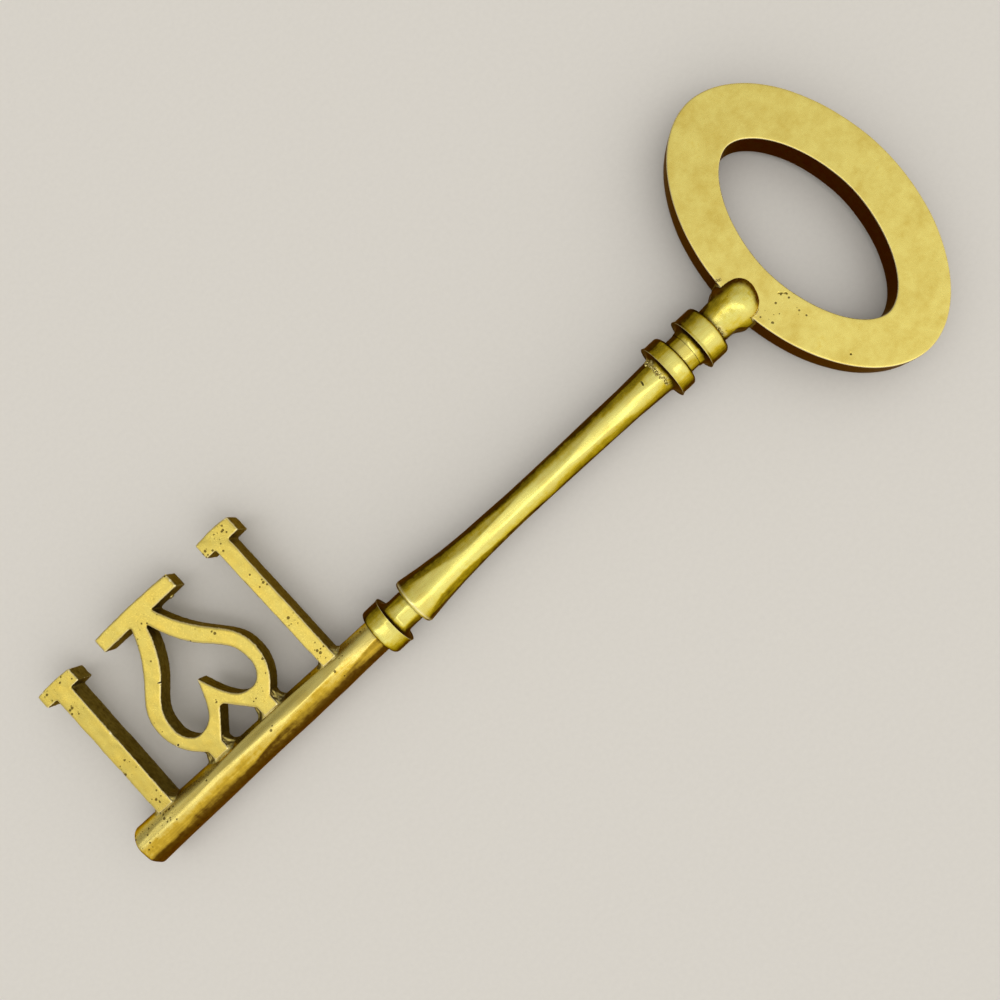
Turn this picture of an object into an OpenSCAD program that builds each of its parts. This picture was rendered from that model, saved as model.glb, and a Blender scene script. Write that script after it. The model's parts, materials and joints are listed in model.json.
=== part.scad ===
// Decorative wall key of solid brass, lying flat.
// +X runs along the shank to the bow, +Y is the side of the wards, +Z is up.
// The origin is the middle of the key's box, on the surface that it lies on.

/* [Bow] */
// Half the bow's size along the shank
bow_half_len = 33.4; // [28:0.1:40]
// Half the bow's size across the shank
bow_half_w = 54.9; // [46:0.1:64]
// Thickness of the bow's plate
bow_t = 11.7; // [8:0.1:14]
// Fullness of the bow's outline, where 2 is an ellipse
bow_fullness = 1.94; // [1.8:0.01:2.2]
// How far the bow sits off the shank's line, towards the wards
bow_offset = 3; // [0:0.1:5]
// Half the opening's size along the shank
hole_half_len = 18.4; // [12:0.1:22]
// Half the opening's size across the shank
hole_half_w = 36.65; // [26:0.1:42]
// Fullness of the opening's outline
hole_fullness = 1.83; // [1.7:0.01:2.2]
// How much nearer the shank the opening sits than the bow's middle
hole_shift = 0.7; // [0:0.1:3]
// How far the opening sits off the shank's line, towards the wards
hole_offset = 1.95; // [0:0.05:4]

/* [Stem] */
// Length from the bow collar to the bow's edge
stem_len = 10; // [8:0.1:16]
// Radius where the stem leaves the bow collar
stem_r = 6; // [5:0.1:7.5]
// Half the stem's width where its sides begin to spread
stem_waist_w = 6.3; // [5.5:0.05:8]
// Distance of that place from the bow collar
stem_waist_at = 5; // [3:0.1:7]
// Half the stem's width at the bow
stem_side_w = 8.4; // [7.5:0.1:9]
// Distance from the bow collar where its sides have spread to that
stem_spread_at = 9; // [7.5:0.1:12]
// Radius of the rounded end that holds the bow's edge
ball_r = 9.2; // [8:0.1:11]
// How far the rounded end's centre lies inside the bow's edge
ball_inset = 0.7; // [0:0.1:2]

/* [Bow collar] */
// Length of the collar nearest the bow
bow_collar_len = 10.2; // [8:0.1:14]
// Radius of its sharp rim
bow_collar_rim_r = 9.9; // [8.5:0.1:12]
// Radius of its body
bow_collar_body_r = 9.35; // [8:0.05:11]
// Radius of its end towards the bow
bow_collar_end_r = 7.9; // [6.5:0.1:9]
// Radius at the root of its cove
bow_collar_root_r = 6.8; // [5.5:0.1:7.5]
// Length of its cove
bow_collar_cove = 2.4; // [1.5:0.1:3.5]

/* [Collar spacer] */
// Length of the ring between the two collars
spacer_len = 4.1; // [2:0.1:8]
// Radius of the ring
spacer_r = 6.5; // [5:0.1:8]

/* [Shank collar] */
// Length of the widest collar
shank_collar_len = 9.1; // [8:0.1:14]
// Radius of its sharp rim
shank_collar_rim_r = 10.2; // [9:0.1:13]
// Radius of its body
shank_collar_body_r = 9.7; // [8:0.1:12]
// Radius of its end towards the bow
shank_collar_end_r = 7.6; // [6.5:0.1:9]
// Radius at the root of its cove
shank_collar_root_r = 6.3; // [5.5:0.1:7.5]
// Length of its cove
shank_collar_cove = 2.6; // [1.5:0.1:3.5]

/* [Shank] */
// Length of the shaft
shank_len = 108.4; // [70:0.1:160]
// Radius of the rim at its bit end
shank_rim_r = 8.55; // [7:0.05:10]
// Length of the rim's bevel
shank_rim_bevel = 0.9; // [0.4:0.1:2]
// How much the bevel takes off the rim
shank_bevel_depth = 0.25; // [0.1:0.05:0.6]
// Radius of its waist
shank_waist_r = 5.4; // [4.8:0.1:7]
// Distance of the waist from the bit end
shank_waist_at = 60.6; // [40:0.1:65]
// How hollow the taper is, where 1 is straight
shank_hollow = 3; // [1.5:0.1:4]

/* [Neck] */
// Length of the neck above the bit collar
neck_len = 5.9; // [3:0.1:10]
// Radius of the neck
neck_r = 5.85; // [4.8:0.05:7]

/* [Bit collar] */
// Length of the collar at the head of the bit
bit_collar_len = 9.3; // [8:0.1:14]
// Radius of its sharp rim
bit_collar_rim_r = 9.1; // [8:0.1:12]
// Radius of its body
bit_collar_body_r = 8.8; // [7.5:0.1:11]
// Radius of its end on the barrel
bit_collar_end_r = 7.8; // [6.5:0.1:9]
// Radius at the root of its cove
bit_collar_root_r = 5.9; // [5:0.1:7]
// Length of its cove
bit_collar_cove = 2.2; // [1.5:0.1:3.5]

/* [Collar form] */
// Length of the round shoulder at the plain end of each collar
shoulder_len = 1.5; // [0.5:0.1:2.5]
// Length over which a collar's body rises to its rim
rim_rise_len = 1; // [0.5:0.1:2]

/* [Barrel] */
// Length of the barrel that carries the wards
barrel_len = 106.2; // [100:0.1:130]
// Radius at the tip
barrel_tip_r = 7.4; // [6.5:0.1:9]
// Radius at the bit collar
barrel_head_r = 6.05; // [5.6:0.05:8]
// How hollow the barrel's taper is, where 1 is straight
barrel_hollow = 1.35; // [1:0.05:2]
// Broken edge of the tip
tip_edge = 0.8; // [0.3:0.1:1.5]

/* [Wards] */
// Lean of the posts towards the tip, in degrees
post_lean = 0.9; // [0:0.1:3]
// Rise of the curved top of each head
head_crown = 0.5; // [0.1:0.1:1.5]
// Thickness of the two posts
post_t = 9.75; // [6:0.05:11]
// How much wider a post is at its head than at its foot
post_flare = 0.45; // [0:0.05:1.5]
// Radius of the pegs under the feet
peg_r = 2.25; // [1.5:0.05:2.6]
// Depth of the pegs in the barrel
peg_depth = 4.4; // [3:0.1:5.5]

/* [Tip post] */
// Distance of its foot from the barrel's tip
tip_post_at = 15.3; // [10:0.1:18]
// Width of its foot
tip_post_w = 6.2; // [5:0.1:9]
// Height of its top above the shank's axis
tip_post_reach = 62.3; // [50:0.1:72]
// Width of its head
tip_head_w = 14.4; // [10:0.1:18]
// Height of its head
tip_head_h = 5.6; // [4:0.1:8]
// Sideways place of its head on the post
tip_head_shift = -0.3; // [-1:0.1:1]

/* [Bow side post] */
// Distance of its foot from the barrel's head
bow_post_at = 17.4; // [16:0.1:20]
// Width of its foot
bow_post_w = 5.55; // [5:0.05:9]
// Height of its top above the shank's axis
bow_post_reach = 63.1; // [50:0.1:72]
// Width of its head
bow_head_w = 14.5; // [10:0.1:18]
// Height of its head
bow_head_h = 6.3; // [4:0.1:8]
// Sideways place of its head on the post
bow_head_shift = 0.25; // [-1:0.05:1]

/* [Heart] */
// Thickness of the heart and its crossbar
heart_t = 8.3; // [6:0.1:11]
// Distance of its middle from the barrel's tip
heart_at = 52.45; // [49:0.05:55]
// Lean of the heart towards the tip, in degrees
heart_lean = 1.9; // [0:0.1:4]
// Half its width
heart_half_w = 22.2; // [20:0.05:23.5]
// Height of its widest point above the axis
heart_widest_at = 25.2; // [22:0.1:30]
// Width of its limbs at the widest point
limb_w = 4.85; // [3:0.05:7]
// Half its width under the crossbar
shoulder_half_w = 4.8; // [4:0.1:9]
// Metal between the crossbar and the top of the opening
apex_depth = 2.4; // [1.8:0.1:8]
// Height of the opening's floor above the axis
lobe_floor_at = 15.6; // [13:0.1:18]
// Distance of the floor's lowest point from the middle
lobe_floor_x = 12.2; // [9:0.1:14]
// Height of the widest point of the opening
lobe_widest_at = 22.5; // [20:0.1:28]
// Height of the point between the two lobes
cusp_at = 30.2; // [25:0.1:36]
// Distance of each foot from the middle
foot_spread = 11.1; // [10:0.1:13]
// Width of each foot
foot_w = 6.25; // [5:0.05:8]
// Height of the narrowest place above each foot
foot_waist_at = 9.3; // [8.5:0.1:11]
// Height of the arch between the feet
arch_at = 18; // [15:0.1:21]
// Half the arch's width at its top
arch_half_w = 0.6; // [0.3:0.1:2]
// Height of the crossbar's top above the axis
bar_reach = 63.4; // [50:0.1:72]
// Length of the crossbar
bar_w = 33.1; // [26:0.1:40]
// Height of the crossbar
bar_h = 6; // [4:0.1:8]
// Sideways place of the crossbar on the heart
bar_shift = -0.1; // [-2:0.05:2]

/* [Joints] */
// Radius of the threaded studs inside the shank
stud_r = 3; // [2:0.1:3.5]
// Depth of the stem stud in the stem
stem_stud_depth = 6; // [4:0.1:8]
// Depth of a stud in the shaft
shank_stud_depth = 14; // [8:0.1:30]
// Depth of the neck stud in the barrel
barrel_stud_depth = 12.5; // [8:0.1:13]
// Clearance round studs and pegs
fit_gap = 0.1; // [0.05:0.01:0.2]
// Space left beyond the end of a stud or peg
end_gap = 0.3; // [0.2:0.1:1]
// Brazing gap between a curved seat and what sits on it
braze_gap = 0.08; // [0.05:0.01:0.15]
// Width of the braze at the foot of the bow side post
bow_post_braze_w = 2.3; // [1:0.1:3]
// Width of the braze at the foot of the tip post
tip_post_braze_w = 1.1; // [0.6:0.1:3]
// Width of the braze at the feet of the heart
heart_braze_w = 1.4; // [0.6:0.1:2.5]
// Rise of the braze up a foot, above the barrel's top
braze_rise = 2.4; // [1:0.1:3]
// Width of the braze between the ball and the bow
bow_braze_w = 2.6; // [1:0.1:4]
// Thickness of that braze where it runs out
braze_edge = 0.2; // [0.1:0.05:0.5]
// How far braze stays back from the faces of the pieces that it joins
braze_set_back = 0.2; // [0:0.05:1]

/* [Hidden] */
// Places along the shank, from the tip to the bow
tip_x = -(barrel_len + bit_collar_len + neck_len + shank_len + shank_collar_len + spacer_len
    + bow_collar_len + stem_len + 2 * bow_half_len) / 2;
bit_collar_x = tip_x + barrel_len;
neck_x = bit_collar_x + bit_collar_len;
shank_x = neck_x + neck_len;
shank_collar_x = shank_x + shank_len;
spacer_x = shank_collar_x + shank_collar_len;
bow_collar_x = spacer_x + spacer_len;
stem_x = bow_collar_x + bow_collar_len;
bow_x = stem_x + stem_len + bow_half_len;

// The key rests on its widest rim, and its box is centred on Y
axis_z = max(bit_collar_rim_r, shank_collar_rim_r, bow_collar_rim_r, shank_rim_r, bow_t / 2);
reach = max(tip_post_reach, bow_post_reach, bar_reach, bow_offset + bow_half_w);
axis_y = (bow_half_w - bow_offset - reach) / 2;

// How far a cutter runs past the face that it cuts
over = 1;

// Segments of an outline, of a curve and of a turned surface
outline_steps = 144;
curve_steps = 14;
turn_steps = 16;
$fn = 96;

brass = [0.86, 0.73, 0.42];
turned_brass = [0.80, 0.66, 0.34];
ward_brass = [0.88, 0.77, 0.48];
braze_metal = [0.90, 0.82, 0.58];
steel = [0.62, 0.63, 0.65];

// Points of an oval with half sizes a and b, where fullness 2 is an ellipse
function oval(a, b, fullness) = [
    for (i = [0 : outline_steps - 1])
    let (t = 360 * i / outline_steps, c = cos(t), s = sin(t))
    [a * sign(c) * pow(abs(c), 2 / fullness), b * sign(s) * pow(abs(s), 2 / fullness)]
];

// A curve from p to q, where the two pulls are parts of the way to the other end, along and across
function curve(p, q, pulls) = [
    for (i = [0 : curve_steps - 1])
    let (
        t = i / curve_steps,
        d = q - p,
        a = [p[0] + pulls[0][0] * d[0], p[1] + pulls[0][1] * d[1]],
        b = [q[0] - pulls[1][0] * d[0], q[1] - pulls[1][1] * d[1]]
    )
    pow(1 - t, 3) * p + 3 * pow(1 - t, 2) * t * a + 3 * (1 - t) * t * t * b + pow(t, 3) * q
];

function mirrored(points) = [for (i = [len(points) - 1 : -1 : 0]) [-points[i][0], points[i][1]]];

// Outline points leaned towards the tip by an angle, while what is level stays level
function leaned(points, lean) = [for (p = points) [p[0] - p[1] * tan(lean), p[1]]];

// Radius of the barrel at a distance from its tip
function barrel_r(along) =
    barrel_head_r + (barrel_tip_r - barrel_head_r) * pow(max(0, 1 - along / barrel_len), barrel_hollow);

// Radius of the shaft at a distance from its rim
function shank_r(along) =
    along < shank_waist_at
    ? shank_waist_r + (shank_rim_r - shank_waist_r)
        * pow((shank_waist_at - along) / (shank_waist_at - shank_rim_bevel), shank_hollow)
    : shank_waist_r + (shank_collar_root_r - shank_waist_r)
        * pow((along - shank_waist_at) / (shank_len - shank_waist_at), shank_hollow);

// Profile of the stem: a cone that runs smoothly into a ball
ball_middle = stem_len + ball_inset;
cone_angle = asin(ball_r / norm([ball_middle, stem_r])) - atan(stem_r / ball_middle);
stem_profile = concat(
    [[0, 0], [stem_r, 0]],
    [for (i = [0 : turn_steps]) let (a = 90 - cone_angle + (90 + cone_angle) * i / turn_steps)
        [i == turn_steps ? 0 : ball_r * sin(a), ball_middle - ball_r * cos(a)]]
);

// Half the stem's width at a distance from the bow collar
function stem_half(along) =
    let (t = max(0, min(1, (along - stem_waist_at) / (stem_spread_at - stem_waist_at))))
    stem_waist_w + (stem_side_w - stem_waist_w) * (3 * t * t - 2 * t * t * t);

// Half of the stem's outline seen from above, with its sides drawn in behind the bow
stem_side = concat(
    [[0, stem_waist_w]],
    [for (i = [0 : 6]) let (along = stem_waist_at + (stem_spread_at - stem_waist_at) * i / 6)
        [along, stem_half(along)]],
    [[ball_middle + ball_r, stem_side_w]]
);

// A profile of [radius, distance] points turned about the shank's axis from x
module turned(x, profile) {
    translate([x, axis_y, axis_z])
    rotate([0, 90, 0])
    rotate_extrude()
    polygon(profile);
}

// A round rod or hole along the shank, from x
module rod(x, length, r) {
    translate([x, axis_y, axis_z])
    rotate([0, 90, 0])
    cylinder(h = length, r = r);
}

// A flat piece from a 2D outline, centred on the axis height
module plate(thickness) {
    translate([0, axis_y, axis_z - thickness / 2])
    linear_extrude(thickness)
    children();
}

// Profile of a collar: plain end, body, sharp rim and cove
function collar_profile(length, end_r, body_r, rim_r, root_r, cove) =
    let (
        depth = rim_r - root_r,
        cove_r = (depth * depth + cove * cove) / (2 * depth),
        turn = acos((cove_r - depth) / cove_r)
    )
    concat(
        [[0, 0], [end_r, 0]],
        [for (i = [1 : 5]) let (a = 18 * i)
            [end_r + (body_r - end_r) * sin(a), shoulder_len * (1 - cos(a))]],
        [[body_r, length - cove - rim_rise_len], [rim_r, length - cove]],
        [for (i = [1 : turn_steps]) let (a = turn * (1 - i / turn_steps))
            [root_r + cove_r * (1 - cos(a)), length - cove_r * sin(a)]],
        [[0, length]]
    );

// The same profile turned end for end
function flipped(profile, length) = [for (p = profile) [p[0], length - p[1]]];

// The bow's outline, larger all round by grow
module bow_outline(grow) {
    translate([bow_x, bow_offset])
    polygon(oval(bow_half_len + grow, bow_half_w + grow, bow_fullness));
}

module bow() {
    color(brass)
    plate(bow_t)
    difference() {
        bow_outline(0);
        translate([bow_x - hole_shift, hole_offset])
        polygon(oval(hole_half_len, hole_half_w, hole_fullness));
    }
}

// The stem's solid form, larger all round by grow
module stem_form(grow) {
    intersection() {
        turned(stem_x, [for (p = stem_profile) [p[0] > 0 ? p[0] + grow : 0, p[1]]]);
        plate(2 * (ball_r + over))
        translate([stem_x, 0])
        polygon(concat(
            [for (p = stem_side) [p[0], p[1] + grow]],
            [for (i = [len(stem_side) - 1 : -1 : 0]) [stem_side[i][0], -stem_side[i][1] - grow]]
        ));
    }
}

module bow_stem() {
    color(turned_brass)
    difference() {
        stem_form(0);
        plate(bow_t + 2 * braze_gap) bow_outline(braze_gap);
        rod(stem_x - over, stem_stud_depth + end_gap + over, stud_r + fit_gap);
    }
}

// The bow's near edge at a distance from the shank's line
function bow_edge(across) =
    let (share = abs(across - bow_offset) / bow_half_w)
    bow_x - bow_half_len * pow(1 - pow(share, bow_fullness), 1 / bow_fullness);

// Hollow face of the braze on one side, from the stem to the bow
function bow_braze_face(side) =
    let (
        start_x = stem_x + stem_len - bow_braze_w,
        start_w = stem_half(stem_len - bow_braze_w) + braze_gap + braze_edge,
        end_w = stem_side_w + bow_braze_w,
        end_x = bow_edge(side * end_w) - braze_gap - braze_edge
    )
    [for (i = [0 : 6]) let (a = 15 * i)
        [start_x + (end_x - start_x) * sin(a), side * (start_w + (end_w - start_w) * (1 - cos(a)))]];

// Braze in the corners between the stem's sides and the bow's edge
module bow_braze() {
    color(braze_metal)
    for (side = [-1, 1])
    difference() {
        plate(bow_t - 2 * braze_set_back)
        polygon(concat(
            bow_braze_face(side),
            [[bow_x, side * (stem_side_w + bow_braze_w)], [bow_x, 0], [stem_x + stem_len - bow_braze_w, 0]]
        ));
        plate(bow_t) bow_outline(braze_gap);
        stem_form(braze_gap);
    }
}

module bow_collar() {
    color(turned_brass)
    difference() {
        turned(bow_collar_x, flipped(collar_profile(bow_collar_len, bow_collar_end_r,
            bow_collar_body_r, bow_collar_rim_r, bow_collar_root_r, bow_collar_cove), bow_collar_len));
        rod(bow_collar_x - over, bow_collar_len + 2 * over, stud_r + fit_gap);
    }
}

module collar_spacer() {
    color(turned_brass)
    difference() {
        rod(spacer_x, spacer_len, spacer_r);
        rod(spacer_x - over, spacer_len + 2 * over, stud_r + fit_gap);
    }
}

module shank_collar() {
    color(turned_brass)
    difference() {
        turned(shank_collar_x, flipped(collar_profile(shank_collar_len, shank_collar_end_r,
            shank_collar_body_r, shank_collar_rim_r, shank_collar_root_r, shank_collar_cove),
            shank_collar_len));
        rod(shank_collar_x - over, shank_collar_len + 2 * over, stud_r + fit_gap);
    }
}

module shank() {
    color(turned_brass)
    difference() {
        turned(shank_x, concat(
            [[0, 0], [shank_rim_r - shank_bevel_depth, 0]],
            [for (i = [0 : turn_steps]) let (a = shank_rim_bevel
                + (shank_waist_at - shank_rim_bevel) * i / turn_steps) [shank_r(a), a]],
            [for (i = [1 : turn_steps / 2]) let (a = shank_waist_at
                + (shank_len - shank_waist_at) * i / (turn_steps / 2)) [shank_r(a), a]],
            [[0, shank_len]]
        ));
        rod(shank_x - over, shank_stud_depth + end_gap + over, stud_r + fit_gap);
        rod(shank_collar_x - shank_stud_depth - end_gap, shank_stud_depth + end_gap + over,
            stud_r + fit_gap);
    }
}

module shank_neck() {
    color(turned_brass)
    difference() {
        rod(neck_x, neck_len, neck_r);
        rod(neck_x - over, neck_len + 2 * over, stud_r + fit_gap);
    }
}

module bit_collar() {
    color(turned_brass)
    difference() {
        turned(bit_collar_x, collar_profile(bit_collar_len, bit_collar_end_r, bit_collar_body_r,
            bit_collar_rim_r, bit_collar_root_r, bit_collar_cove));
        rod(bit_collar_x - over, bit_collar_len + 2 * over, stud_r + fit_gap);
    }
}

// The barrel's turned form, larger all round by grow
module barrel_form(grow) {
    turned(tip_x, concat(
        [[0, 0], [barrel_tip_r - tip_edge + grow, 0]],
        [for (i = [0 : turn_steps]) let (a = tip_edge + (barrel_len - tip_edge) * i / turn_steps)
            [barrel_r(a) + grow, a]],
        [[0, barrel_len]]
    ));
}

// A peg or its hole, at a distance from the tip, from its end up to a height
module peg(along, r, depth, top) {
    bottom = barrel_r(along) - depth;
    translate([tip_x + along, axis_y + bottom, axis_z])
    rotate([-90, 0, 0])
    cylinder(h = top - bottom, r = r);
}

foot_places = [tip_post_at, heart_at - foot_spread, heart_at + foot_spread, barrel_len - bow_post_at];

module bit_barrel() {
    color(turned_brass)
    difference() {
        barrel_form(0);
        for (along = foot_places)
            peg(along, peg_r + fit_gap, peg_depth + end_gap, 2 * barrel_r(along));
        rod(bit_collar_x - barrel_stud_depth - end_gap, barrel_stud_depth + end_gap + over,
            stud_r + fit_gap);
    }
}

// The curved top of a head, from its left corner to its right corner
function crown(middle, width, top) = [
    for (i = [0 : 8]) let (s = i / 4 - 1) [middle + s * width / 2, top - head_crown * s * s]
];

// Half the width of a post at a height above the axis
function post_half(foot_w, height, reach) = (foot_w + post_flare * height / reach) / 2;

// Outline of a post with its head, upright, from the axis up
function post_points(foot_w, reach, head_w, head_h, shift) =
    let (
        under = reach - head_h,
        half = post_half(foot_w, under, reach),
        foot_half = post_half(foot_w, 0, reach)
    )
    concat(
        [[-foot_half, 0], [-half, under], [shift - head_w / 2, under]],
        crown(shift, head_w, reach),
        [[shift + head_w / 2, under], [half, under], [foot_half, 0]]
    );

// A ward of flat plate, seated on the barrel, with a peg under each foot
module ward(along, thickness, pegs) {
    difference() {
        plate(thickness) translate([tip_x + along, 0]) children();
        barrel_form(braze_gap);
    }
    for (p = pegs) peg(along + p, peg_r, peg_depth, barrel_r(along + p) + over);
}

module tip_post() {
    color(ward_brass)
    ward(tip_post_at, post_t, [0])
    polygon(leaned(post_points(tip_post_w, tip_post_reach, tip_head_w, tip_head_h, tip_head_shift),
        post_lean));
}

module bow_side_post() {
    color(ward_brass)
    ward(barrel_len - bow_post_at, post_t, [0])
    polygon(leaned(post_points(bow_post_w, bow_post_reach, bow_head_w, bow_head_h, bow_head_shift),
        post_lean));
}

// How the heart's curves pull at their two ends
limb_pulls = [[0.37, 0.585], [0, 0.385]];
hip_pulls = [[0, 0.6], [0.22, 0.13]];
opening_limb_pulls = [[0.4, 0.705], [0, 0.43]];
lobe_pulls = [[0, 0.55], [0.45, 0]];
cusp_pulls = [[0.46, 0], [0.35, 0.83]];

// Right half of the heart's outer outline, from the crossbar down to the axis
bar_under = bar_reach - bar_h;
heart_right = concat(
    [[shoulder_half_w, bar_under + over]],
    curve([shoulder_half_w, bar_under], [heart_half_w, heart_widest_at], limb_pulls),
    curve([heart_half_w, heart_widest_at], [foot_spread + foot_w / 2, foot_waist_at], hip_pulls),
    [[foot_spread + foot_w / 2, foot_waist_at], [foot_spread + foot_w / 2, 0]]
);

// Right half of the opening, from its top down and up again to the cusp
opening_right = concat(
    curve([0, bar_under - apex_depth], [heart_half_w - limb_w, lobe_widest_at], opening_limb_pulls),
    curve([heart_half_w - limb_w, lobe_widest_at], [lobe_floor_x, lobe_floor_at], lobe_pulls),
    curve([lobe_floor_x, lobe_floor_at], [0, cusp_at], cusp_pulls)
);

// Arch between the feet, open down to the axis
arch_points = [
    [foot_spread - foot_w / 2, 0],
    [foot_spread - foot_w / 2, foot_waist_at],
    [arch_half_w, arch_at],
    [-arch_half_w, arch_at],
    [foot_w / 2 - foot_spread, foot_waist_at],
    [foot_w / 2 - foot_spread, 0]
];

module heart_outline() {
    difference() {
        union() {
            polygon(leaned(concat(heart_right, mirrored(heart_right)), heart_lean));
            polygon(leaned(concat(
                [[bar_shift - bar_w / 2, bar_under]],
                crown(bar_shift, bar_w, bar_reach),
                [[bar_shift + bar_w / 2, bar_under]]
            ), heart_lean));
        }
        polygon(leaned(concat(opening_right, [[0, cusp_at]], mirrored([for (i = [1 : len(opening_right) - 1])
            opening_right[i]])), heart_lean));
        polygon(leaned(arch_points, heart_lean));
    }
}

module ward_heart() {
    color(ward_brass)
    ward(heart_at, heart_t, [-foot_spread, foot_spread])
    heart_outline();
}

// Outline of the braze beside one side of a foot, down to where the foot's faces meet the barrel
function foot_braze_points(edge, side, along, thickness, width) =
    let (
        r = barrel_r(along),
        top = r + braze_rise,
        low = sqrt(r * r - thickness * thickness / 4)
    )
    concat(
        [[edge, 0]],
        [for (i = [0 : 6]) let (t = i / 6) [edge + side * width * t * t, top - (top - low) * t * (2 - t)]],
        [[edge + side * width, 0]]
    );

// Braze on both sides of one foot
module foot_braze(along, middle, foot_half, thickness, width, lean) {
    for (side = [-1, 1])
    difference() {
        plate(thickness - 2 * braze_set_back)
        translate([tip_x + along, 0])
        polygon(leaned(foot_braze_points(middle + side * foot_half, side, along + middle, thickness, width),
            lean));
        barrel_form(braze_gap);
    }
}

module tip_post_braze() {
    color(braze_metal)
    foot_braze(tip_post_at, 0, post_half(tip_post_w, barrel_tip_r, tip_post_reach) + braze_gap,
        post_t, tip_post_braze_w, post_lean);
}

module bow_post_braze() {
    color(braze_metal)
    foot_braze(barrel_len - bow_post_at, 0, post_half(bow_post_w, barrel_tip_r, bow_post_reach) + braze_gap,
        post_t, bow_post_braze_w, post_lean);
}

module heart_braze() {
    color(braze_metal)
    for (foot = [-foot_spread, foot_spread])
        foot_braze(heart_at, foot, foot_w / 2, heart_t, heart_braze_w, heart_lean);
}

module stem_stud() {
    color(steel)
    rod(shank_collar_x - shank_stud_depth,
        shank_stud_depth + shank_collar_len + spacer_len + bow_collar_len + stem_stud_depth, stud_r);
}

module neck_stud() {
    color(steel)
    rod(bit_collar_x - barrel_stud_depth,
        barrel_stud_depth + bit_collar_len + neck_len + shank_stud_depth, stud_r);
}

bow();
bow_stem();
bow_braze();
bow_collar();
collar_spacer();
shank_collar();
shank();
shank_neck();
bit_collar();
bit_barrel();
bow_side_post();
bow_post_braze();
ward_heart();
heart_braze();
tip_post();
tip_post_braze();
stem_stud();
neck_stud();
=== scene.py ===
# %% [markdown]
# # A decorative wall key, cast and turned in brass
#
# The key is built the way a small foundry builds one. The bow and the three wards are cast flat and
# filed, the collars, the shaft and the barrel are turned on a lathe, and the pieces are studded,
# pegged and brazed together. Each of those pieces becomes one Blender object here.
#
# The measurements already exist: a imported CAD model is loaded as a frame, and it says where every
# piece lies. So nothing is placed by eye. A piece starts from a copy of its CAD solid, is cut, spun,
# bevelled or remeshed into a good surface, and then stands in for that solid.

# %% Load the frame
import json
import math

import bpy
from mathutils import Matrix, Vector
from mathutils import noise as field

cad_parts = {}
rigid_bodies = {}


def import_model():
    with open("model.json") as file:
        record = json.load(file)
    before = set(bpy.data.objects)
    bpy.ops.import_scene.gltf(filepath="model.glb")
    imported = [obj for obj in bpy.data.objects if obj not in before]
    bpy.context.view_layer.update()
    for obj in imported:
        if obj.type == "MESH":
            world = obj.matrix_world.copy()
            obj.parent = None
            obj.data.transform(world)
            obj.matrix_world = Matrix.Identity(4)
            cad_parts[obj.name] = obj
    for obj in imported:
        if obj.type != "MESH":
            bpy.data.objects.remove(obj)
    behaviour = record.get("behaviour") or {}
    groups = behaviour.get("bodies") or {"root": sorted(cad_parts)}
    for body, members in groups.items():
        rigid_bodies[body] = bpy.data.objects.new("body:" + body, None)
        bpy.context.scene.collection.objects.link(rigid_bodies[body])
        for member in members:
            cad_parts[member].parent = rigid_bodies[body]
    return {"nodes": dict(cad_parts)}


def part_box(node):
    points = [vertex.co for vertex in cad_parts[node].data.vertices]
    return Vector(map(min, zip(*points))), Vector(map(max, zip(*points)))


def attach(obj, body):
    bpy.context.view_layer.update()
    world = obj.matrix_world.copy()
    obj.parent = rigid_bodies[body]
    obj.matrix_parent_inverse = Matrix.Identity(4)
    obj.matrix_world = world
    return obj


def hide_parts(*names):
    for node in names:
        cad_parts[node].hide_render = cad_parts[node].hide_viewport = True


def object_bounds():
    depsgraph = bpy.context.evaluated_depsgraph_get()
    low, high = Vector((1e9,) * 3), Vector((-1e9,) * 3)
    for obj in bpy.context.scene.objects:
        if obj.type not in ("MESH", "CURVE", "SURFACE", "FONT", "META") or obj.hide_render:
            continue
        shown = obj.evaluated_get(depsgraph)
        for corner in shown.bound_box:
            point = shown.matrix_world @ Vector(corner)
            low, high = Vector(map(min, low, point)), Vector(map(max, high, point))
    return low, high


# The start-up file holds a cube, a lamp and a camera, and they go first
for leftover in list(bpy.data.objects):
    bpy.data.objects.remove(leftover)
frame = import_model()
cad_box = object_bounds()
MM = 0.001
print("nodes in the frame:", len(frame["nodes"]))

# %% [markdown]
# The camera looks almost straight down from about a third of a metre, with the normal lens of a
# small camera, and it is turned so that the key runs from the lower left to the upper right. Its
# three directions are written out as the columns of a rotation, which is clearer than three angles.

# %% Camera
camera_data = bpy.data.cameras.new("camera")
camera_data.lens = 36
camera_data.sensor_width = 36
camera_data.clip_start = 0.01
camera = bpy.data.objects.new("camera", camera_data)
bpy.context.scene.collection.objects.link(camera)

right = Vector((0.733126, -0.67547, -0.079165))
down = Vector((-0.678497, -0.734404, -0.017121))
forward = Vector((-0.046574, 0.066265, -0.996714))
turn = Matrix((right, -down, -forward)).transposed()
stand = Vector((0.015822, -0.02217, 0.337668))
camera.matrix_world = Matrix.Translation(stand) @ turn.to_4x4()
bpy.context.scene.camera = camera
bpy.context.scene.view_settings.view_transform = "Standard"
print("camera height above the floor:", round(stand.z / MM), "mm")

# %% [markdown]
# Colours are written as the hex codes that a colour picker shows. A shader works with linear light,
# so one function turns the first into the second. One more function adds a shader node, sets its
# own properties, and then fills or links its sockets. Every material below is made with these two.

# %% Helpers for colour and nodes
def linear(code):
    """Turn a hex colour into the linear values that a shader takes."""
    parts = [int(code[i:i + 2], 16) / 255 for i in (1, 3, 5)]
    return tuple(p / 12.92 if p <= 0.04045 else ((p + 0.055) / 1.055) ** 2.4 for p in parts) + (1.0,)


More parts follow.
